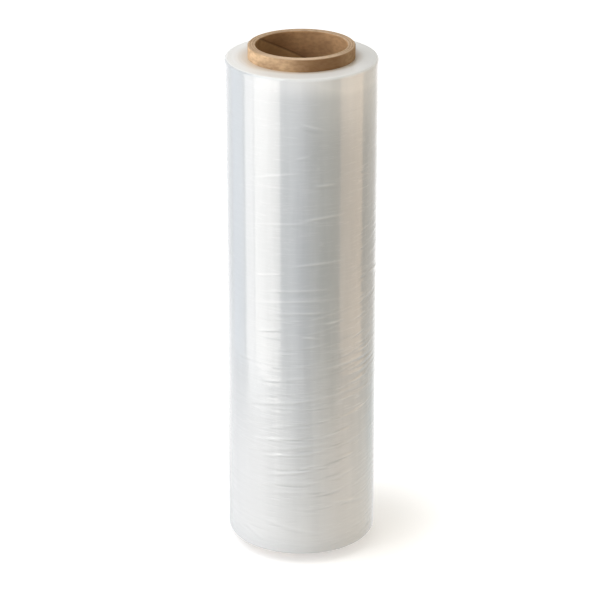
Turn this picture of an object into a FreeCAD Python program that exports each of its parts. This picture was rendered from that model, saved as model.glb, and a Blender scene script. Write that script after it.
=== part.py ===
import FreeCAD, Part
import os

import Sketcher
from FreeCAD import Vector

# Roll of clear stretch wrap on a cardboard core, standing on its end.
# Frame: origin at the centre of the core's lower end, +Z up along the core. Millimetres.
os.makedirs("parts", exist_ok=True)
doc = FreeCAD.newDocument("StretchWrapRoll")

# Driving sizes, in millimetres and degrees.
sizes = {
    # cardboard core, wound from glued paper plies
    "core_bore": 76.2,
    "core_wall": 6.5,
    "core_length": 452.0,
    "rim_bevel": 0.7,
    "ply_lines": 2,
    "ply_line_depth": 0.35,
    "ply_line_width": 0.6,
    "seam_lead": 27.0,
    "seam_bearing": 156.0,
    "seam_width": 1.4,
    "seam_depth": 0.45,
    # wound film
    "film_diameter": 128.0,
    "film_width": 432.0,
    "bare_core_below": 9.5,
    "film_edge_radius": 2.4,
    "turn_bands": 5,
    "turn_band_relief": 0.2,
    # free end of the outermost turn
    "tail_bearing": 96.0,
    "tail_step": 0.35,
    # creases that the winding tension leaves in the outer turns
    "crease_rise": 0.5,
    "crease_width": 3.4,
    "back_creases": 7,
    "back_crease_reach": 62.0,
    "back_crease_slope": 5.0,
    "crease_margin": 18.0,
}
# The creases of the front, from the top down: height up the film, bearing, reach, slope.
front_creases = [
    (348, -109, 26, 11),
    (312, -73, 23, 5),
    (271, -78, 27, 3),
    (236, -95, 48, 4.5),
    (166, -102, 26, 11),
    (146, -90, 74, 11),
    (103, -90, 44, 8.5),
    (46, -52, 32, -12),
    (25, -96, 30, -12),
]
for number, row in enumerate(front_creases, start=1):
    for part, value in zip(("height", "bearing", "reach", "slope"), row):
        sizes["crease_%d_%s" % (number, part)] = value
sheet = doc.addObject("Spreadsheet::Sheet", "Sizes")
for row, (name, value) in enumerate(sizes.items(), start=1):
    sheet.set("A%d" % row, name)
    sheet.set("B%d" % row, str(value))
    sheet.setAlias("B%d" % row, name)
doc.recompute()

BORE_RADIUS = "Sizes.core_bore / 2"
CORE_RADIUS = "(Sizes.core_bore / 2 + Sizes.core_wall)"
FILM_RADIUS = "Sizes.film_diameter / 2"
# The inner ply runs up the bore as a helix; this is its rise in one turn.
SEAM_PITCH = "(pi * Sizes.core_bore * tan(Sizes.seam_lead))"
SEAM_TURNS = "(ceil(Sizes.core_length / %s) + Sizes.seam_bearing / 360)" % SEAM_PITCH


def value_of(expression):
    return float(sheet.evalExpression(expression))


def origin_item(body, role):
    """The plane or axis of a body's own origin that has this role."""
    return next(item for item in body.Origin.OriginFeatures if item.Role == role)


def section(body, name, corners):
    """A closed outline in the XZ plane, each corner held by its radius and its height."""
    sketch = body.newObject("Sketcher::SketchObject", name)
    sketch.AttachmentSupport = (origin_item(body, "XZ_Plane"), [""])
    sketch.MapMode = "FlatFace"
    points = [Vector(value_of(radius), value_of(height), 0) for radius, height in corners]
    for start, end in zip(points, points[1:] + points[:1]):
        sketch.addGeometry(Part.LineSegment(start, end), False)
    for line, (radius, height) in enumerate(corners):
        before = (line - 1) % len(corners)
        sketch.addConstraint(Sketcher.Constraint("Coincident", before, 2, line, 1))
        for kind, value, text in (
            ("DistanceX", points[line].x, radius),
            ("DistanceY", points[line].y, height),
        ):
            index = sketch.addConstraint(Sketcher.Constraint(kind, -1, 1, line, 1, value))
            sketch.setExpression("Constraints[%d]" % index, text)
    return sketch


def turned(body, name, sketch):
    """A full turn of an outline about the axis of the roll."""
    feature = body.newObject("PartDesign::Revolution", name)
    feature.Profile = sketch
    feature.ReferenceAxis = (origin_item(body, "Z_Axis"), [""])
    feature.Angle = 360
    doc.recompute()
    return feature


def rims(shape, radii):
    """Names of the full circles that have one of these radii."""
    names = []
    for index, edge in enumerate(shape.Edges, start=1):
        if isinstance(edge.Curve, Part.Circle) and edge.isClosed():
            if min(abs(edge.Curve.Radius - radius) for radius in radii) < 1e-4:
                names.append("Edge%d" % index)
    return names


def bound(kind, name, **expressions):
    """A primitive whose properties follow the sheet."""
    item = doc.addObject(kind, name)
    for prop, text in expressions.items():
        item.setExpression(prop.replace("_", "."), text)
    return item


# Core: a tube of paper plies, sawn to length. The cut ends show the glue lines between
# the plies, and in the bore the edges of the inner ply leave a narrow spiral seam.
core = doc.addObject("PartDesign::Body", "Core")
core.Label = "cardboard_core"


def cut_end(height, inward):
    """The sawn end from the bore outwards, with a fine groove at each glue line."""
    corners = [(BORE_RADIUS, height)]
    for line in range(1, int(value_of("Sizes.ply_lines")) + 1):
        middle = BORE_RADIUS + " + Sizes.core_wall * %d / (Sizes.ply_lines + 1)" % line
        corners.append((middle + " - Sizes.ply_line_width / 2", height))
        corners.append((middle, height + inward + "Sizes.ply_line_depth"))
        corners.append((middle + " + Sizes.ply_line_width / 2", height))
    corners.append((CORE_RADIUS, height))
    return corners


lower_end = cut_end("0", " + ")
upper_end = cut_end("Sizes.core_length", " - ")
tube = turned(core, "CoreTube", section(core, "CoreSection", lower_end + upper_end[::-1]))

bevel = core.newObject("PartDesign::Chamfer", "RimBevel")
bevel.Base = (tube, rims(tube.Shape, (value_of(BORE_RADIUS), value_of(CORE_RADIUS))))
bevel.setExpression("Size", "Sizes.rim_bevel")
doc.recompute()

seam_start = "Sizes.core_length - %s * %s" % (SEAM_TURNS, SEAM_PITCH)
seam_section = section(core, "SeamSection", [
    (BORE_RADIUS + " - Sizes.seam_depth", seam_start + " - Sizes.seam_width"),
    (BORE_RADIUS + " + Sizes.seam_depth", seam_start),
    (BORE_RADIUS + " - Sizes.seam_depth", seam_start + " + Sizes.seam_width"),
])
seam = core.newObject("PartDesign::SubtractiveHelix", "PlySeam")
seam.Profile = seam_section
seam.ReferenceAxis = (origin_item(core, "Z_Axis"), [""])
seam.Mode = "pitch-height-angle"
seam.setExpression("Pitch", SEAM_PITCH)
seam.setExpression("Height", "%s * %s + 2 * Sizes.seam_width" % (SEAM_TURNS, SEAM_PITCH))
doc.recompute()
core.Tip = seam

# Film: hundreds of turns wound tight on the core, one solid. Its ends show bands of turns
# that stand a little proud of their neighbours, and the outer turns round over at the edges.
winding = doc.addObject("PartDesign::Body", "Winding")


def wound_end(height, inward):
    """The end of the winding from the axis out: shallow valleys between bands, then the edge."""
    pitch = "((%s - 1.3 * Sizes.film_edge_radius - %s) / Sizes.turn_bands)" % (FILM_RADIUS, CORE_RADIUS)
    corners = [("0", height + inward + "Sizes.turn_band_relief")]
    for band in range(int(value_of("Sizes.turn_bands"))):
        depth = "Sizes.turn_band_relief * %g" % (1.0 if band % 2 == 0 else 0.6)
        corners.append(("%s + %s * %d" % (CORE_RADIUS, pitch, band), height + inward + depth))
        corners.append(("%s + %s * %g" % (CORE_RADIUS, pitch, band + 0.6), height))
    for angle in range(0, 91, 18):
        radius = "%s - Sizes.film_edge_radius * (1 - sin(%d))" % (FILM_RADIUS, angle)
        corners.append((radius, height + inward + "Sizes.film_edge_radius * (1 - cos(%d))" % angle))
    return corners


lower_end = wound_end("0", " + ")
upper_end = wound_end("Sizes.film_width", " - ")
wound = turned(winding, "Turns", section(winding, "TurnsSection", lower_end + upper_end[::-1]))

# The outermost turn ends in a straight edge down the roll: its last quarter turn stands
# off by the thickness of the end and runs out to nothing.
lap = bound(
    "Part::Cylinder", "LastTurn",
    Radius=FILM_RADIUS,
    Height="Sizes.film_width - 2 * Sizes.film_edge_radius",
    Placement="placement(vector(Sizes.tail_step * cos(Sizes.tail_bearing);"
    " Sizes.tail_step * sin(Sizes.tail_bearing); Sizes.film_edge_radius);"
    " rotation(vector(0; 0; 1); Sizes.tail_bearing))",
)
quarter = bound(
    "Part::Box", "LastQuarter",
    Length="Sizes.film_diameter",
    Width="Sizes.film_diameter",
    Height="Sizes.film_width",
    Placement="placement(vector(0; 0; 0); rotation(vector(0; 0; 1); Sizes.tail_bearing - 90))",
)
tail = doc.addObject("Part::MultiCommon", "Tail")
tail.Shapes = [lap, quarter]

# Each crease is a low ridge that climbs a little as it goes round and fades out at both
# ends. Two flat cones, base to base and off centre, leave just that ridge outside the film.
ridges = []


def add_crease(name, height, bearing, reach, slope):
    off_centre = "(Sizes.crease_rise / (1 - cos(%s)))" % reach
    for side in (0, 180):
        ridges.append(bound(
            "Part::Cone", "%s_%d" % (name, side),
            Radius1="%s + Sizes.crease_rise - %s" % (FILM_RADIUS, off_centre),
            Radius2="%s - 2 * Sizes.crease_rise - %s" % (FILM_RADIUS, off_centre),
            Height="1.5 * Sizes.crease_width",
            Placement="placement(vector({0} * cos({1}); {0} * sin({1}); {2});"
            " rotation(vector(cos({1}); sin({1}); 0); {3} + {4}))".format(
                off_centre, bearing, height, slope, side
            ),
        ))


for number in range(1, len(front_creases) + 1):
    cells = ["Sizes.crease_%d_%s" % (number, part) for part in ("height", "bearing", "reach", "slope")]
    add_crease("FrontCrease%d" % number, *cells)

# Those of the back are spread over it and along the film in golden section.
for number in range(int(value_of("Sizes.back_creases"))):
    share = (0.35 + number * 0.618034) % 1
    height = "Sizes.crease_margin + (Sizes.film_width - 2 * Sizes.crease_margin) * %g" % share
    bearing = "(%g)" % (210 * ((0.3 + number * 0.381966) % 1) - 15)
    reach = "(Sizes.back_crease_reach * %g)" % (0.6 + 0.4 * (number * 0.381966 % 1))
    slope = "Sizes.back_crease_slope * sin(%g)" % (number * 100 + 70)
    add_crease("BackCrease%d" % (number + 1), height, bearing, reach, slope)

creased = doc.addObject("Part::MultiFuse", "CreasedWinding")
creased.Shapes = [winding, tail] + ridges

# The winding grips the core: its hole is the core's outside.
hole = bound(
    "Part::Cylinder", "CoreHole",
    Radius=CORE_RADIUS,
    Height="Sizes.film_width + 2 * Sizes.turn_band_relief",
    Placement="placement(vector(0; 0; -Sizes.turn_band_relief); rotation(vector(0; 0; 1); 0))",
)
film = doc.addObject("Part::Cut", "Film")
film.Label = "film_roll"
film.Base = creased
film.Tool = hole
film.setExpression(".Placement.Base.z", "Sizes.bare_core_below")
doc.recompute()

# Every object has to be sound, and each cut and join has to have changed the volume.
for item in doc.Objects:
    if "Invalid" in item.State or "Error" in item.State:
        raise RuntimeError("%s did not compute: %s" % (item.Label, item.State))
for name, before, after in (
    ("rim bevel", tube, bevel),
    ("ply seam", bevel, seam),
    ("core hole", creased, film),
):
    if not after.Shape.Volume < before.Shape.Volume:
        raise RuntimeError("the %s removed nothing" % name)
if not creased.Shape.Volume > winding.Shape.Volume:
    raise RuntimeError("the creases and the tail added nothing")
for piece in (core, film):
    if piece.Shape.isNull() or not piece.Shape.isValid() or len(piece.Shape.Solids) != 1:
        raise RuntimeError("%s is not one sound solid" % piece.Label)
    piece.Shape.exportStep("parts/%s.step" % piece.Label)
    print("%s: %.1f cm3" % (piece.Label, piece.Shape.Volume / 1000))
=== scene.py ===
import math

import bmesh
import bpy
import numpy
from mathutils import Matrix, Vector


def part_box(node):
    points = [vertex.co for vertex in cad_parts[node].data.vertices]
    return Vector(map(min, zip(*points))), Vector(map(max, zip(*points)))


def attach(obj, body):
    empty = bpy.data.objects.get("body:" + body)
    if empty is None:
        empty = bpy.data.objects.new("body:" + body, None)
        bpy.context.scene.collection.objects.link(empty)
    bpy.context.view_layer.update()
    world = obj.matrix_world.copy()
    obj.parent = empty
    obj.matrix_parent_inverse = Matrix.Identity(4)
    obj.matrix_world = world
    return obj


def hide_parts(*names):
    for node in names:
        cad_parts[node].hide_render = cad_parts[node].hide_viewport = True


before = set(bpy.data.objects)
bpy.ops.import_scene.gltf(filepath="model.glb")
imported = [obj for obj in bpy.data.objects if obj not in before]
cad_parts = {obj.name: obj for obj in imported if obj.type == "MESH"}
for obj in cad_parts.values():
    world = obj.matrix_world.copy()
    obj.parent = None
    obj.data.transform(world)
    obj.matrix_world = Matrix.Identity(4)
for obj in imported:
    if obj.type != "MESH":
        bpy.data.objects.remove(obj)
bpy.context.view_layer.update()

# Cardboard core.
# A tube of brown kraft plies glued one over the other in a spiral and sawn to length. The
# sawn rims are paler, and in the bore the edges of the inner ply leave a narrow seam.

core_low, core_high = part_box("cardboard_core")
bore_radius = 0.0381
core_radius = 0.0446
core_length = core_high.z - core_low.z
rim_bevel = 0.0007
glue_lines = 2
glue_line_depth = 0.00035
glue_line_width = 0.0006
seam_lead = math.radians(27)
seam_bearing = math.radians(156)
seam_width = 0.0010
seam_depth = 0.00035
seam_pitch = 2 * math.pi * bore_radius * math.tan(seam_lead)
ply_thickness = 0.0009
ply_trim = 0.0004
core_facets = 192
ply_columns = 160
ply_rows = 8
weld = 1e-6


def line_of(mesh, places):
    """A chain of edges in the XZ plane through (radius, height) places."""
    verts = [mesh.verts.new((radius, 0, height)) for radius, height in places]
    edges = [mesh.edges.new(pair) for pair in zip(verts, verts[1:])]
    return verts + edges


def finished(mesh, name, smooth_under):
    """The object for a mesh, with outward normals and edges kept sharp over an angle."""
    bmesh.ops.recalc_face_normals(mesh, faces=mesh.faces[:])
    data = bpy.data.meshes.new(name)
    mesh.to_mesh(data)
    mesh.free()
    piece = bpy.data.objects.new(name, data)
    bpy.context.scene.collection.objects.link(piece)
    data.set_sharp_from_angle(angle=math.radians(smooth_under))
    return piece


def glue_line_at(number):
    """The radius of a glue line in the sawn rim, counted from the bore."""
    return bore_radius + (core_radius - bore_radius) * number / (glue_lines + 1)


def sawn_rim(height, inward):
    """A sawn end from the bore to the outside, with its eased edges and glue lines."""
    places = [(bore_radius, height + inward * rim_bevel), (bore_radius + rim_bevel, height)]
    for number in range(1, glue_lines + 1):
        middle = glue_line_at(number)
        places.append((middle - glue_line_width / 2, height))
        places.append((middle, height + inward * glue_line_depth))
        places.append((middle + glue_line_width / 2, height))
    places.append((core_radius - rim_bevel, height))
    places.append((core_radius, height + inward * rim_bevel))
    return places


# The sawn ends and the outside are one turned outline; the bore is the inner ply itself,
# a strip one pitch wide that is wound up the tube and trimmed at both ends.
core_mesh = bmesh.new()
bmesh.ops.spin(
    core_mesh,
    geom=line_of(core_mesh, sawn_rim(core_low.z, 1) + sawn_rim(core_high.z, -1)[::-1]),
    cent=(0, 0, 0), axis=(0, 0, 1), angle=2 * math.pi, steps=core_facets, use_merge=True,
)
ply_mesh = bmesh.new()
seam_turns = seam_bearing / (2 * math.pi) + math.ceil(core_length / seam_pitch)
first_seam = core_high.z - seam_turns * seam_pitch
strip = [(bore_radius + seam_depth, first_seam), (bore_radius, first_seam + seam_width / 2)]
for row in range(1, ply_rows):
    strip.append((bore_radius, first_seam + seam_pitch * row / ply_rows))
strip.append((bore_radius, first_seam + seam_pitch - seam_width / 2))
strip.append((bore_radius + seam_depth, first_seam + seam_pitch))
turns = math.ceil(core_length / seam_pitch) + 1
bmesh.ops.spin(
    ply_mesh, geom=line_of(ply_mesh, strip),
    cent=(0, 0, 0), axis=(0, 0, 1), angle=2 * math.pi * turns, steps=ply_columns * turns,
    dvec=(0, 0, seam_pitch / ply_columns), use_merge=False,
)
bmesh.ops.remove_doubles(ply_mesh, verts=ply_mesh.verts[:], dist=weld)
ply_low = core_low.z + rim_bevel + ply_trim
ply_high = core_high.z - rim_bevel - ply_trim
for height, side in ((ply_low, -1), (ply_high, 1)):
    bmesh.ops.bisect_plane(
        ply_mesh, geom=ply_mesh.verts[:] + ply_mesh.edges[:] + ply_mesh.faces[:],
        plane_co=(0, 0, height), plane_no=(0, 0, side), clear_outer=True,
    )
ply_data = bpy.data.meshes.new("inner_ply")
ply_mesh.to_mesh(ply_data)
ply_mesh.free()
core_mesh.from_mesh(ply_data)
bpy.data.meshes.remove(ply_data)
for middle in (core_low.z + rim_bevel, core_high.z - rim_bevel):
    ends = [
        edge for edge in core_mesh.edges
        if edge.is_boundary and abs(edge.verts[0].co.z - middle) < 2 * ply_trim
    ]
    bmesh.ops.bridge_loops(core_mesh, edges=ends)
core = finished(core_mesh, "core", 40)
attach(core, "root")
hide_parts("cardboard_core")


class Shade:
    """A socket of a material; sums on it add Math nodes, and node() adds any other node."""

    def __init__(self, tree, socket=None):
        self.tree = tree
        self.socket = socket

    def node(self, kind, settings=None, inputs=None, output=0):
        made = self.tree.nodes.new(kind)
        for key, value in (settings or {}).items():
            if key == "stops":
                for number, (place, colour) in enumerate(value):
                    if number >= len(made.color_ramp.elements):
                        made.color_ramp.elements.new(place)
                    made.color_ramp.elements[number].position = place
                    made.color_ramp.elements[number].color = (*colour, 1)
            else:
                setattr(made, key, value)
        for key, value in (inputs or {}).items():
            if isinstance(value, Shade):
                self.tree.links.new(value.socket, made.inputs[key])
            else:
                made.inputs[key].default_value = value
        return Shade(self.tree, made.outputs[output])

    def math(self, operation, *values):
        return self.node("ShaderNodeMath", {"operation": operation}, dict(enumerate(values)))

    def __add__(self, other):
        return self.math("ADD", self, other)

    def __sub__(self, other):
        return self.math("SUBTRACT", self, other)

    def __rsub__(self, other):
        return self.math("SUBTRACT", other, self)

    def __mul__(self, other):
        return self.math("MULTIPLY", self, other)

    def __truediv__(self, other):
        return self.math("DIVIDE", self, other)

    __radd__ = __add__
    __rmul__ = __mul__


def ramp(value, low, high):
    """0 under low, 1 over high, and smooth between them."""
    limits = {"Value": value, "From Min": low, "From Max": high}
    return value.node("ShaderNodeMapRange", {"interpolation_type": "SMOOTHSTEP"}, limits)


def blend(share, colour, other):
    """One colour turned into another by a share from 0 to 1, on the node's colour sockets."""
    inputs = {"Factor": share, 6: colour, 7: other}
    return share.node("ShaderNodeMix", {"data_type": "RGBA"}, inputs, output=2)


def noise(place, scale, detail, stretch=(1, 1, 1)):
    """Noise of about one wave in 1/scale metres, drawn out along the small numbers of stretch."""
    drawn = place.node("ShaderNodeMapping", {}, {"Vector": place, "Scale": stretch})
    return place.node("ShaderNodeTexNoise", {}, {"Vector": drawn, "Scale": scale, "Detail": detail})


def object_place(paint):
    """Object coordinates, followed by their x, y and z."""
    place = paint.node("ShaderNodeTexCoord", output=3)
    return place, *(paint.node("ShaderNodeSeparateXYZ", {}, {0: place}, axis) for axis in range(3))


def new_material(name, surface):
    """A material whose Principled shader has these uniform values on its own sockets."""
    material = bpy.data.materials.new(name)
    material.use_nodes = True
    shader = material.node_tree.nodes["Principled BSDF"]
    for key, value in surface.items():
        shader.inputs[key].default_value = value
    return material, shader, Shade(material.node_tree)


def feed(shader, **links):
    """Links to a shader's sockets, named with _ for each space."""
    for key, value in links.items():
        value.tree.links.new(value.socket, shader.inputs[key.replace("_", " ")])


kraft = (0.31, 0.175, 0.085, 1)
kraft_painted_lit = (0.76, 0.53, 0.32, 1)
kraft_dark = (0.20, 0.10, 0.045, 1)
bore_brown_lit = (0.61, 0.365, 0.185, 1)
bore_olive_shaded = (0.48, 0.29, 0.13, 1)
seam_dark = (0.13, 0.075, 0.035, 1)
sawn_edge = (0.92, 0.695, 0.49, 1)
glue_brown_and_rim_shade = (0.42, 0.28, 0.17, 1)

board, board_shader, paint = new_material("kraft_board", {"Specular IOR Level": 0.15})
place, x, y, z = object_place(paint)
radius = paint.math("SQRT", x * x + y * y)
turn = paint.math("ARCTAN2", y, x) / (2 * math.pi)
# where a point lies across the inner ply, from 0 at one edge to 1 at the other; the whole
# turns only keep the number above 0
whole_turns = 8
seam_share = seam_bearing / (2 * math.pi) + whole_turns
across = paint.math("FRACT", (z - core_high.z) / seam_pitch - turn + seam_share)
in_bore = 1 - ramp(radius, bore_radius + 0.0001, bore_radius + 0.0007)
from_middle = paint.math("ABSOLUTE", z - (core_low.z + core_high.z) / 2)
on_rim = ramp(from_middle, core_length / 2 - 0.0006, core_length / 2 - 0.0001)
mottle = noise(place, 42, 6, (1, 1, 1.4))
fibres = noise(place, 210, 5, (1, 1, 2.2))
# painted shade for the bore: darkest on its left, lightest on its right
painted_bore_shade = paint.math("SINE", turn * (2 * math.pi) - 1.0)
# on the back and right of the bore and shade on its left
# the ply goes from a paler brown past the seam to a darker one before it, which paints light
ply_colour = blend(ramp(across, 0.2, 0.95), bore_brown_lit, bore_olive_shaded)
# painted light: the outside of the core is paler on its left and, less so, at its right edge
outside = blend(ramp(x, -0.031, 0.012) - 0.45 * ramp(x, 0.028, 0.043), kraft_painted_lit, kraft)
colour = blend(in_bore, outside, ply_colour)
colour = blend(ramp(fibres, 0.38, 0.66) * (0.3 - 0.06 * in_bore), colour, kraft_dark)
# the blotches of the board are softer in the bore, and painted shade darkens the bore's left side
blotches_and_bore_shade = mottle + (painted_bore_shade * 0.10 + (0.5 - mottle) * 0.35) * in_bore
colour = blend(ramp(blotches_and_bore_shade, 0.40, 0.66) * 0.45, colour, kraft_dark)
seam = paint.math("ABSOLUTE", across - 0.5)
colour = blend(ramp(seam, 0.487, 0.498) * in_bore * 0.5, colour, seam_dark)
# painted light and shade: the sawn rim is paler at the front and browner behind
sawn = blend(ramp(fibres, 0.35, 0.75) * 0.3 + 0.55 * ramp(y, -0.043, -0.022), sawn_edge, glue_brown_and_rim_shade)
for number in range(1, glue_lines + 1):
    off = paint.math("ABSOLUTE", radius - glue_line_at(number))
    sawn = blend((1 - ramp(off, 0.00015, 0.0006)) * 0.7, sawn, glue_brown_and_rim_shade)
sawn = blend(ramp(radius, core_radius - 0.0012, core_radius - 0.0004) * 0.65, sawn, glue_brown_and_rim_shade)
colour = blend(on_rim, colour, sawn)
plies = paint.math("SINE", radius * (2 * math.pi / ply_thickness))
grain = fibres * 0.5 + on_rim * plies * 0.3
bump = paint.node("ShaderNodeBump", {}, {"Height": grain, "Distance": 0.0002, "Strength": 0.6})
feed(board_shader, Base_Color=colour, Roughness=0.75 + 0.15 * mottle, Normal=bump)
core.data.materials.append(board)

# Film.
# Several hundred turns of clear polyethylene, wound tight on the core. Thick enough to look
# milky, glossy on the outside, with tension creases running round it and bands at its ends.

film_low, film_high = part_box("film_roll")
film_radius = 0.064
edge_radius = 0.0024
turn_bands = 5
band_relief = 0.00006
band_pitch = (film_radius - 1.3 * edge_radius - core_radius) / turn_bands
# how the relief of a band rises and falls across it
band_shape = ((0, 1), (0.15, 0.8), (0.3, 0.42), (0.45, 0.1), (0.6, 0), (0.75, 0.25), (0.9, 0.8))
edge_steps = 8
film_facets = 188
side_rows = 430


def wound_end(height, inward):
    """An end of the winding from the core outwards: bands of turns, then the rounded edge."""
    places = []
    for band in range(turn_bands):
        start = core_radius + band_pitch * band
        depth = band_relief * (1.0 if band % 2 == 0 else 0.6)
        for share, rise in band_shape:
            places.append((start + band_pitch * share, height + inward * depth * rise))
    for step in range(edge_steps + 1):
        angle = math.pi / 2 * step / edge_steps
        places.append((
            film_radius - edge_radius * (1 - math.sin(angle)),
            height + inward * edge_radius * (1 - math.cos(angle)),
        ))
    return places


side_low = film_low.z + edge_radius
side_high = film_high.z - edge_radius
side = [
    (film_radius, side_low + (side_high - side_low) * row / side_rows)
    for row in range(1, side_rows)
]
outline = wound_end(film_low.z, 1) + side + wound_end(film_high.z, -1)[::-1]
film_mesh = bmesh.new()
outline_parts = line_of(film_mesh, outline)
ends = [part for part in outline_parts if isinstance(part, bmesh.types.BMVert)]
outline_parts.append(film_mesh.edges.new((ends[-1], ends[0])))
bmesh.ops.spin(
    film_mesh, geom=outline_parts,
    cent=(0, 0, 0), axis=(0, 0, 1), angle=2 * math.pi, steps=film_facets, use_merge=True,
)

# Each crease: height of its middle, bearing of its middle (0 faces the viewer, + to the
# right), how far it reaches each way, how much it climbs over that reach, how far it bows,
# its rise and its half width. Heights and lengths in millimetres, angles in degrees.
creases = [
    (391.5, 8, 13, -4.2, 0.5, 0.30, 1.3),
    (388.0, 6, 11, -3.8, 0.4, -0.22, 1.1),
    (365.5, 1, 8, 1.8, 0, 0.25, 1.2),
    (348.5, -19, 26, 5.4, -2.0, 0.28, 1.3),
    (340.6, 18, 11, 0.2, 0, 0.38, 1.2),
    (312.0, 17, 23, 2.2, -1.6, 0.36, 1.4),
    (306.5, -6, 40, 2.0, -3.6, 0.22, 1.2),
    (271.2, 12, 27, 1.6, -2.4, 0.30, 1.4),
    (260.4, -26, 18, 3.4, -0.8, 0.26, 1.2),
    (247.0, -3, 40, 2.0, -3.4, 0.24, 1.3),
    (243.0, 4, 26, 1.0, -1.4, -0.22, 1.1),
    (236.4, -5, 48, 3.6, -6.0, 0.26, 1.3),
    (227.2, -1, 33, 0.8, -1.8, 0.24, 1.2),
    (210.0, -25, 16, 3.0, -0.6, 0.28, 1.2),
    (217.6, 25, 11, 1.6, -0.6, 0.30, 1.2),
    (204.9, 9, 10, -1.5, 0.3, 0.26, 1.1),
    (179.4, -46, 12, -0.2, 0, 0.20, 1.2),
    (166.5, -12, 26, 5.4, 0.6, 0.16, 1.3),
    (177.2, 38, 34, 2.2, -2.0, 0.30, 1.4),
    (145.8, 0, 74, 11.6, -2.8, 0.22, 1.4),
    (120.3, -21, 12, 2.2, -0.6, 0.20, 1.0),
    (110.0, -7, 50, 5.0, -3.8, 0.18, 1.2),
    (103.0, 0, 44, 6.6, -2.2, 0.24, 1.4),
    (94.7, -18, 18, 3.0, -0.6, 0.26, 1.1),
    (78.6, -7, 25, 4.2, -1.4, 0.30, 1.3),
    (67.0, -3, 42, 2.4, -5.6, 0.20, 1.2),
    (59.0, -3, 42, 2.4, -5.6, 0.22, 1.2),
    (46.5, 38, 32, -7.2, 1.6, 0.30, 1.4),
    (25.0, -6, 30, -6.8, -1.0, 0.36, 1.5),
    (14.8, -39, 11, -4.8, 0.3, 0.34, 1.3),
]
# Counted creases are spread evenly between 0 and 1 by these steps, without a repeat.
height_step = 0.754878
bearing_step = 0.569840
reach_step = 0.381966
peak_step = 0.236068
width_step = 0.445042
back_step = 0.618034


def climb_over(reach, slope):
    """How many millimetres a crease climbs over its reach, at a slope in degrees."""
    return 1000 * film_radius * math.sin(math.radians(reach)) * math.tan(math.radians(slope))


# seven like them on the back
for number in range(7):
    height = 18 + (432 - 36) * ((0.35 + number * back_step) % 1)
    bearing = 210 * ((0.3 + number * reach_step) % 1) + 75
    reach = 62 * (0.6 + 0.4 * (number * reach_step % 1))
    climb = climb_over(reach, 5 * math.sin(math.radians(number * 100 + 70)))
    creases.append((height, bearing, reach, climb, 0, 0.3, 1.5))
# fine wrinkles all over, more of them and stronger towards the foot; two in five are furrows
for number in range(520):
    height = 8 + 400 * (number * height_step % 1) ** 1.5
    bearing = 360 * (number * bearing_step % 1) - 180
    to_right = math.sin(math.radians(bearing))
    reach = 8 + 24 * (number * reach_step % 1) ** 2
    climb = climb_over(reach, 2 + 4 * math.sin(number * 2.4) + 3 * to_right)
    peak = (0.05 + 0.11 * (number * peak_step % 1) ** 2) * (1 if number % 5 > 1 else -1)
    peak *= (0.8 + 0.4 * to_right) * (0.75 + 0.7 * max(0, 1 - height / 250))
    half_width = 0.75 + 0.4 * (number * width_step % 1)
    creases.append((height, bearing, reach, climb, -0.4, peak, half_width))
# the hatching low on the front right, where the film was pulled round at a slant
for number in range(210):
    height = 40 + 195 * (number * height_step % 1)
    bearing = -24 + 96 * (number * bearing_step % 1)
    reach = 6 + 9 * (number * reach_step % 1)
    climb = climb_over(reach, 3 + bearing / 9)
    peak = (0.11 + 0.14 * (number * peak_step % 1)) * (1 if number % 5 > 1 else -1)
    low_share = 0.4 if bearing < 2 else 1.5 if bearing < 38 else -0.55
    peak *= 0.85 + math.exp(-((height - 92) / 28) ** 2) * low_share
    creases.append((height, bearing, reach, climb, 0, peak, 0.8))
# and more of it higher up, far to the right
for number in range(64):
    height = 160 + 145 * (number * height_step % 1) ** 1.5
    bearing = 46 + 34 * (number * bearing_step % 1)
    reach = 7 + 10 * (number * reach_step % 1)
    climb = climb_over(reach, 9 + 5 * math.sin(number))
    peak = (0.08 + 0.12 * (number * peak_step % 1)) * (1 if number % 2 else -1)
    creases.append((height, bearing, reach, climb, 0, peak, 0.9))

film = finished(film_mesh, "film", 50)
places = numpy.empty(len(film.data.vertices) * 3)
film.data.vertices.foreach_get("co", places)
places = places.reshape(-1, 3)
# only the outside wall is creased, and the bore and the ends stay as they are turned
outer = numpy.hypot(places[:, 0], places[:, 1]) > film_radius - 1e-5
bearings = numpy.degrees(numpy.arctan2(places[:, 0], -places[:, 1]))
heights = (places[:, 2] - film_low.z) * 1000
# faint waves up the whole side, then the ridge of each crease with a shallow ditch under it,
# all in millimetres; far_off only keeps the numbers small
rises = 0.03 * numpy.sin(heights * 0.31) + 0.025 * numpy.sin(heights * 0.113 + 1)
rises += 0.02 * numpy.sin(heights * 0.83 + 2)
# how much light is painted on each point: highlights on crease ridges, shade in their ditches and
# furrows
crest_light_and_shade = numpy.zeros(len(places))
ditch_share = 0.5
ditch_place = 1.7
far_off = 6
for middle, centre, reach, climb, bow, peak, half_width in creases:
    along = ((bearings - centre + 180) % 360 - 180) / reach
    fade = numpy.clip(1 - along ** 2, 0, 1) ** 1.5
    off = (heights - middle - climb * along - bow * (along ** 2 - 0.33)) / half_width
    ridge = numpy.exp(-numpy.clip(off, -far_off, far_off) ** 2)
    ditch = numpy.exp(-numpy.clip(off + ditch_place, -far_off, far_off) ** 2)
    relief = fade * (ridge - ditch_share * ditch)
    rises += peak * relief
    crest_light_and_shade += relief * math.copysign(0.2 + 2.0 * abs(peak), peak)

# the film is drawn smoother on the left, but not near its foot
smoother = 0.6 * numpy.exp(-((bearings + 45) / 20) ** 2) * numpy.clip((heights - 30) / 40, 0, 1)
rises *= 1 - smoother

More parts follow.
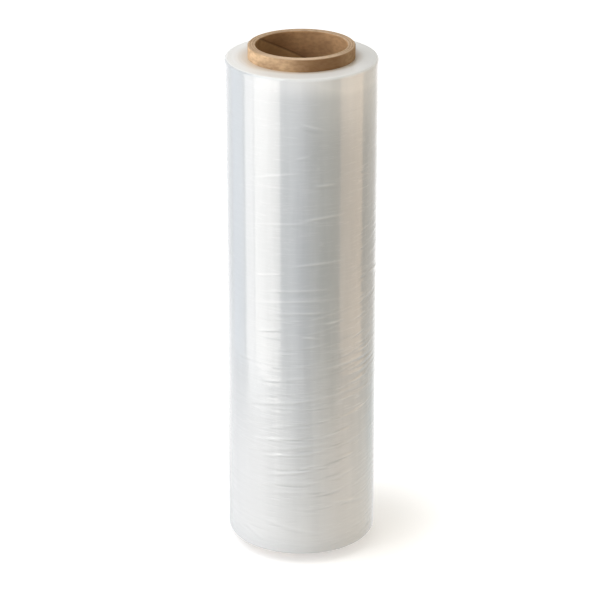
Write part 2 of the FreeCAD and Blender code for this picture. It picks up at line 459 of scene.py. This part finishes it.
# the free end of the last turn: a step down the back that runs out in a quarter turn
tail_bearing = 186
tail_step = 0.35
behind = numpy.radians((tail_bearing - bearings) % 360)
rises += numpy.where(behind < math.pi / 2, tail_step * numpy.cos(behind), 0)
# kept within the size of the roll
deepest = -0.5
highest = 0.44
rises = numpy.clip(rises, deepest, highest)
places[outer, :2] *= (1 + rises[outer] * 0.001 / film_radius)[:, None]
film.data.vertices.foreach_set("co", places.ravel())
crest_marks = film.data.attributes.new("crest", "FLOAT", "POINT")
crest_marks.data.foreach_set("value", numpy.clip(crest_light_and_shade * outer, -1, 1))
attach(film, "root")
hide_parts("film_roll")

milky = (0.52, 0.54, 0.55, 1)
milky_end = (0.905, 0.90, 0.885, 1)
milky_end_shaded = (0.745, 0.74, 0.72, 1)
milky_dark = (0.36, 0.38, 0.39, 1)
crest_highlight = (0.86, 0.87, 0.87, 1)
warm_inside = (0.62, 0.52, 0.40, 1)
wrap, wrap_shader, paint = new_material("stretch_film", {
    "IOR": 1.5,
    "Coat Roughness": 0.08,
    "Coat IOR": 1.6,
})
place, x, y, z = object_place(paint)
radius = paint.math("SQRT", x * x + y * y)
on_side = ramp(radius, film_radius - 0.0018, film_radius - 0.0004)
streaks = noise(place, 9, 4, (1, 1, 22))
fine = noise(place, 30, 3, (1, 1, 40))
# the ends: the core's warm colour shows through the film and fades out over a few millimetres
shaded = 0.0075 + 0.0055 * (1 - ramp(x, -0.05, -0.02))
# the band is wider on the left, where it is painted shade beside the core, and fainter on the right
near_core = 1 - ramp((radius - core_radius) / shaded, 0, 1)
# painted shade: the end face is darker towards the right
colour = blend(ramp(x, 0.035, 0.06), milky_end, milky_end_shaded)
colour = blend(near_core * (0.85 - 0.2 * ramp(x, 0.02, 0.05)), colour, warm_inside)
to_right = ramp(x, -0.03, 0.03)
middle = ramp(x, -0.015, 0.0) * (1 - ramp(x, 0.028, 0.045))
far_right = ramp(x, 0.029, 0.042)
# painted light, paler towards the ends: at the top edge, below it, in the upper third, at the foot
top_edge = ramp(z, film_high.z - 0.022, film_high.z - 0.002)
below_edge = ramp(z, film_high.z - 0.065, film_high.z - 0.01)
upper_third = ramp(z, film_high.z - 0.17, film_high.z)
near_foot = 1 - ramp(z, film_low.z - 0.05, film_low.z + 0.28)
painted_light_near_ends = top_edge * (0.35 * ramp(x, -0.045, -0.012) + 0.4 * to_right)
painted_light_near_ends = painted_light_near_ends + below_edge * (0.4 * ramp(x, 0.006, 0.043) + 0.2 * middle)
painted_light_near_ends = painted_light_near_ends + upper_third * (0.13 * ramp(x, -0.045, -0.03) + 0.25 * far_right)
painted_light_near_ends = painted_light_near_ends + near_foot * (0.56 + 0.19 * ramp(z, film_low.z + 0.002, film_low.z + 0.02))
side_colour = blend(painted_light_near_ends, milky, milky_end)
# faint grey tones up the side, and painted highlights as thin pale lines on creases and folds
crest = paint.node("ShaderNodeAttribute", {"attribute_name": "crest"}, {}, 2)
patches = ramp(noise(place, 16, 2), 0.42, 0.62)
tones = noise(place, 75, 4, (1, 1, 0.1))
tones = ramp(tones, 0.35, 0.65) * ramp(z, film_low.z - 0.05, film_low.z + 0.2)
tones = tones * (0.35 + 0.65 * ramp(x, -0.04, -0.015))
tones = tones * (1 - 0.7 * ramp(z, film_high.z - 0.08, film_high.z - 0.02))
side_colour = blend(tones * 0.27, side_colour, milky_dark)
folds = noise(place, 11, 3, (1, 1, 17))
fold_lines = (1 - ramp(paint.math("ABSOLUTE", folds - 0.5), 0.0, 0.022)) * patches
finer_folds = noise(place, 26, 3, (1, 1, 18))
finer_lines = (1 - ramp(paint.math("ABSOLUTE", finer_folds - 0.5), 0.0, 0.03)) * (1 - patches)
lower = 1 - ramp(z, film_low.z + 0.1, film_low.z + 0.25)
painted_highlights = 0.38 * ramp(crest, 0, 1) + (0.14 + 0.18 * lower) * fold_lines
painted_highlights = painted_highlights + (0.14 + 0.1 * lower) * finer_lines
# the painted highlights are stronger on the left and at the far right
highlight_share = 0.4 + 0.6 * ramp(x, -0.055, -0.01) + 0.5 * ramp(x, 0.035, 0.055)
side_colour = blend(painted_highlights * highlight_share, side_colour, crest_highlight)
# painted shade in the crease ditches and the furrows
side_colour = blend(0.32 * ramp(0 - crest, 0, 1), side_colour, milky_dark)
colour = blend(on_side, colour, side_colour)
# the fine relief: turns in the ends, and wrinkles, die lines and ripples on the side
rings = noise(radius.node("ShaderNodeCombineXYZ", {}, {0: radius}), 600, 2)
die_lines = noise(place, 70, 2, (1, 1, 0.03))
ripples = noise(place, 38, 3, (1, 1, 7))
height = fine * 0.5 + fold_lines * 0.5 + finer_lines * 0.3 + die_lines * 0.25 + ripples * 0.8
height = height * on_side + rings * 0.05 * (1 - on_side)
smooth_left = 0.4 * ramp(x, -0.058, -0.05) * (1 - ramp(x, -0.032, -0.02))
height = height * (1 - smooth_left)
bump = paint.node("ShaderNodeBump", {}, {"Height": height, "Distance": 0.00025, "Strength": 0.6})
feed(
    wrap_shader,
    Base_Color=colour,
    Roughness=0.34 - 0.2 * on_side + 0.06 * streaks,
    Coat_Weight=on_side,
    Normal=bump,
)
film.data.materials.append(wrap)

# Floor, light and camera.
# A plain pale floor. Tall soft lights stand close by on the left, weak warm ones on the right
# and one hangs overhead. The camera looks down on the roll from the front.

floor_mesh = bmesh.new()
bmesh.ops.create_grid(floor_mesh, x_segments=1, y_segments=1, size=20)
floor = finished(floor_mesh, "floor", 30)
floor_material = bpy.data.materials.new("floor")
floor_material.use_nodes = True
paint = Shade(floor_material.node_tree)
floor_material.node_tree.nodes.remove(floor_material.node_tree.nodes["Principled BSDF"])
output = floor_material.node_tree.nodes["Material Output"]
x, y = object_place(paint)[1:3]
away = paint.math("SQRT", x * x + y * y)
# what the roll mirrors of it, by the bearing at which it is seen in the side of the roll: pale
# behind, bright at the left and grey at the front right, first far off and then close by; in
# stops of twice that bearing / 360 + 0.5, and divided by the mirror level
mirror_level = 3.0
doubled = paint.math("ARCTAN2", x, 0 - y) / (2 * math.pi) * away / (away - film_radius / 2) + 0.5
level = paint.node("ShaderNodeValToRGB", {"stops": [
    (0.0, (0.34, 0.34, 0.34)), (0.05, (0.47, 0.47, 0.47)), (0.1, (0.36, 0.36, 0.365)),
    (0.17, (0.275, 0.285, 0.30)), (0.225, (0.37, 0.375, 0.385)), (0.245, (0.52, 0.52, 0.52)),
    (0.28, (0.67, 0.655, 0.645)), (0.38, (0.65, 0.635, 0.625)), (0.42, (0.53, 0.54, 0.555)),
    (0.46, (0.485, 0.505, 0.54)), (0.5, (0.35, 0.37, 0.42)), (0.57, (0.22, 0.22, 0.20)),
    (0.65, (0.17, 0.165, 0.13)), (0.67, (0.295, 0.265, 0.24)), (0.78, (0.28, 0.25, 0.23)),
    (0.81, (0.187, 0.187, 0.183)), (0.9, (0.26, 0.26, 0.257)), (0.94, (0.41, 0.41, 0.41)),
    (1.0, (0.42, 0.42, 0.42)),
]}, {"Fac": doubled})
close_by = paint.node("ShaderNodeValToRGB", {"stops": [
    (0.0, (0.34, 0.34, 0.34)), (0.1, (0.33, 0.33, 0.335)), (0.17, (0.325, 0.325, 0.33)),
    (0.24, (0.42, 0.41, 0.41)), (0.32, (0.64, 0.625, 0.62)), (0.38, (0.67, 0.655, 0.65)),
    (0.42, (0.44, 0.445, 0.445)), (0.46, (0.35, 0.355, 0.355)), (0.5, (0.32, 0.325, 0.325)),
    (0.56, (0.27, 0.265, 0.255)), (0.6, (0.365, 0.325, 0.29)), (0.68, (0.495, 0.43, 0.38)),
    (0.77, (0.395, 0.405, 0.41)), (0.83, (0.26, 0.30, 0.33)), (0.89, (0.22, 0.27, 0.30)),
    (0.95, (0.30, 0.32, 0.325)), (1.0, (0.33, 0.33, 0.33)),
]}, {"Fac": doubled})
level = blend(ramp(away, 0.1, 0.6), close_by, level)
level = blend(ramp(away, 0.03, 0.30), (0.27, 0.275, 0.28, 1), level)
# white under the key card, so that its foot doesn't show as a step
under_card = ramp(away, 0.32, 0.46) * (1 - ramp(away, 0.455, 0.50))
under_card = under_card * ramp(doubled, 0.235, 0.26) * (1 - ramp(doubled, 0.38, 0.42))
level = blend(under_card, level, (1, 0.99, 0.98, 1))
# a glow that only glossy rays see: painted reflections for the side of the roll
mirrored = paint.node("ShaderNodeEmission", {}, {"Color": level, "Strength": mirror_level})
camera_ray = paint.node("ShaderNodeLightPath", output=0)
glossy_ray = paint.node("ShaderNodeLightPath", output=3)
# the camera sees it white, with the roll's shadow on it close by, and other rays see it plain
floor_grey = (0.8, 0.8, 0.8, 1)
plain = paint.node("ShaderNodeBsdfDiffuse", {}, {"Color": floor_grey})
shown = paint.node("ShaderNodeBsdfDiffuse", {}, {"Color": floor_grey})
# its glow grows away from the roll, painted light that whitens the shadow further out
glow = blend(ramp(away, 0.07, 0.18), (0.44, 0.44, 0.44, 1), (0.72, 0.72, 0.72, 1))
glow = paint.node("ShaderNodeEmission", {}, {"Color": glow})
shown = paint.node("ShaderNodeAddShader", {}, {0: shown, 1: glow})
looks = paint.node("ShaderNodeMixShader", {}, {0: glossy_ray, 1: plain, 2: mirrored})
looks = paint.node("ShaderNodeMixShader", {}, {0: camera_ray, 1: looks, 2: shown})
floor_material.node_tree.links.new(looks.socket, output.inputs["Surface"])
floor.data.materials.append(floor_material)

# the studio's air: white behind the roll and in its gloss, and its light is cool on the left
# and warm on the right
world = bpy.data.worlds.new("studio")
world.use_nodes = True
bpy.context.scene.world = world
paint = Shade(world.node_tree)
camera_ray = paint.node("ShaderNodeLightPath", output=0)
glossy_ray = paint.node("ShaderNodeLightPath", output=3)
through_ray = paint.node("ShaderNodeLightPath", output=6)
direct = paint.math("MAXIMUM", paint.math("MAXIMUM", camera_ray, glossy_ray), through_ray)
air_left = (0.39, 0.42, 0.47, 1)
air_right = (0.475, 0.445, 0.355, 1)
direction = paint.node("ShaderNodeTexCoord")
to_right = ramp(paint.node("ShaderNodeSeparateXYZ", {}, {0: direction}), -1.0, 1.0)
ambient = blend(to_right, air_left, air_right)
backdrop = world.node_tree.nodes["Background"]
world.node_tree.links.new(blend(direct, ambient, (1, 1, 1, 1)).socket, backdrop.inputs["Color"])


def soft_light(name, bearing, distance, height, size, power, colour, hidden_from):
    """An upright soft light that faces the roll; its bearing is from the viewer, + to the right.

    One that is hidden from diffuse rays is a card that only shows in the gloss, and one that is
    hidden from glossy rays only gives light.
    """
    lamp = bpy.data.lights.new(name, "AREA")
    lamp.shape = "RECTANGLE"
    lamp.size, lamp.size_y = size
    lamp.energy = power
    lamp.color = colour
    item = bpy.data.objects.new(name, lamp)
    bpy.context.scene.collection.objects.link(item)
    turn = math.radians(bearing)
    item.location = (distance * math.sin(turn), -distance * math.cos(turn), height)
    item.rotation_euler = (math.radians(90), 0, turn)
    item.visible_camera = False
    setattr(item, "visible_" + hidden_from, False)


card_height = 0.33
card_tall = 0.66
warm = (1.03, 0.74, 0.48)
soft_light("key", -62, 1.4, 0.30, (0.9, 0.9), 10.2, (1.005, 0.99, 1.0), "glossy")
soft_light(
    "key_card", -50.6, 0.456, card_height, (0.337, card_tall), 1.4655, (1.0, 0.95, 0.89), "diffuse")
soft_light(
    "side_card", -80.5, 0.48, card_height, (0.135, card_tall), 0.387, (1.0, 0.95, 0.91), "diffuse")
soft_light(
    "cool_card", -106, 0.45, card_height, (0.20, card_tall), 0.1435, (0.75, 0.9, 1.1), "diffuse")
# two lights in one plane hide one another, so the fill stands just before the card
soft_light("warm_card", 78, 0.45, card_height, (0.34, card_tall), 0.60, warm, "diffuse")
soft_light("warm_fill", 78, 0.448, 0.22, (0.34, 0.44), 0.40, warm, "glossy")
top = bpy.data.lights.new("top", "AREA")
top.shape = "DISK"
top.size = 1.5
top.energy = 13.3
overhead = bpy.data.objects.new("top", top)
overhead.location = (-0.78, -0.34, 1.7)
overhead.rotation_euler = (film_high - overhead.location).to_track_quat("-Z", "Y").to_euler()
overhead.visible_camera = False
bpy.context.scene.collection.objects.link(overhead)

# the camera was fitted to the photograph, with its focal length in pixels of a 600 pixel frame
focal_pixels = 2494.74
frame_pixels = 600
sensor = 36
looks_down = 22.741
turned_left = 0.00064
lens = bpy.data.cameras.new("camera")
lens.lens = sensor * focal_pixels / frame_pixels
lens.sensor_width = sensor
camera = bpy.data.objects.new("camera", lens)
camera.location = (0, -1.9793, film_low.z + 1.04306)
camera.rotation_euler = (math.radians(90 - looks_down), 0, turned_left)
bpy.context.scene.collection.objects.link(camera)
bpy.context.scene.camera = camera
bpy.context.scene.view_settings.view_transform = "Standard"

bpy.context.view_layer.update()
